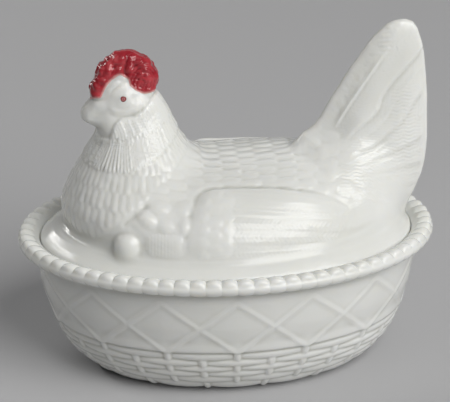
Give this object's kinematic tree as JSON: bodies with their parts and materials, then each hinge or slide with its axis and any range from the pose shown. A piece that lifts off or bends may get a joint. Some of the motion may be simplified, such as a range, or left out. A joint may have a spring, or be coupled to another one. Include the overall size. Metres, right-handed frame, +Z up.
{
  "type": "covered dish",
  "caption": "Oval hen-on-nest covered dish in opaque white glass: a nest of lattice and basket weave with a beaded rim, and a hollow hen cover that lifts off.",
  "frame": {"origin": "on the table, under the middle of the nest, which is also the middle of the whole dish", "axes": "+X towards the hen's tail, along the nest; +Y towards the hen's left side seen from behind it; +Z up"},
  "size_m": [0.19, 0.1406, 0.1569],
  "materials": {
    "milk_glass": "gloss",
    "red_enamel": "gloss"
  },
  "bodies": {
    "nest": {"nest_base": "milk_glass"},
    "cover": {"hen_cover": "milk_glass", "comb_enamel": "red_enamel", "eye_enamel_left": "red_enamel", "eye_enamel_right": "red_enamel"}
  },
  "joints": [
    {"name": "cover_lift", "type": "slide", "parent": "nest", "child": "cover", "axis": [0, 0, 1], "range_m": [0, 0.08]}
  ]
}
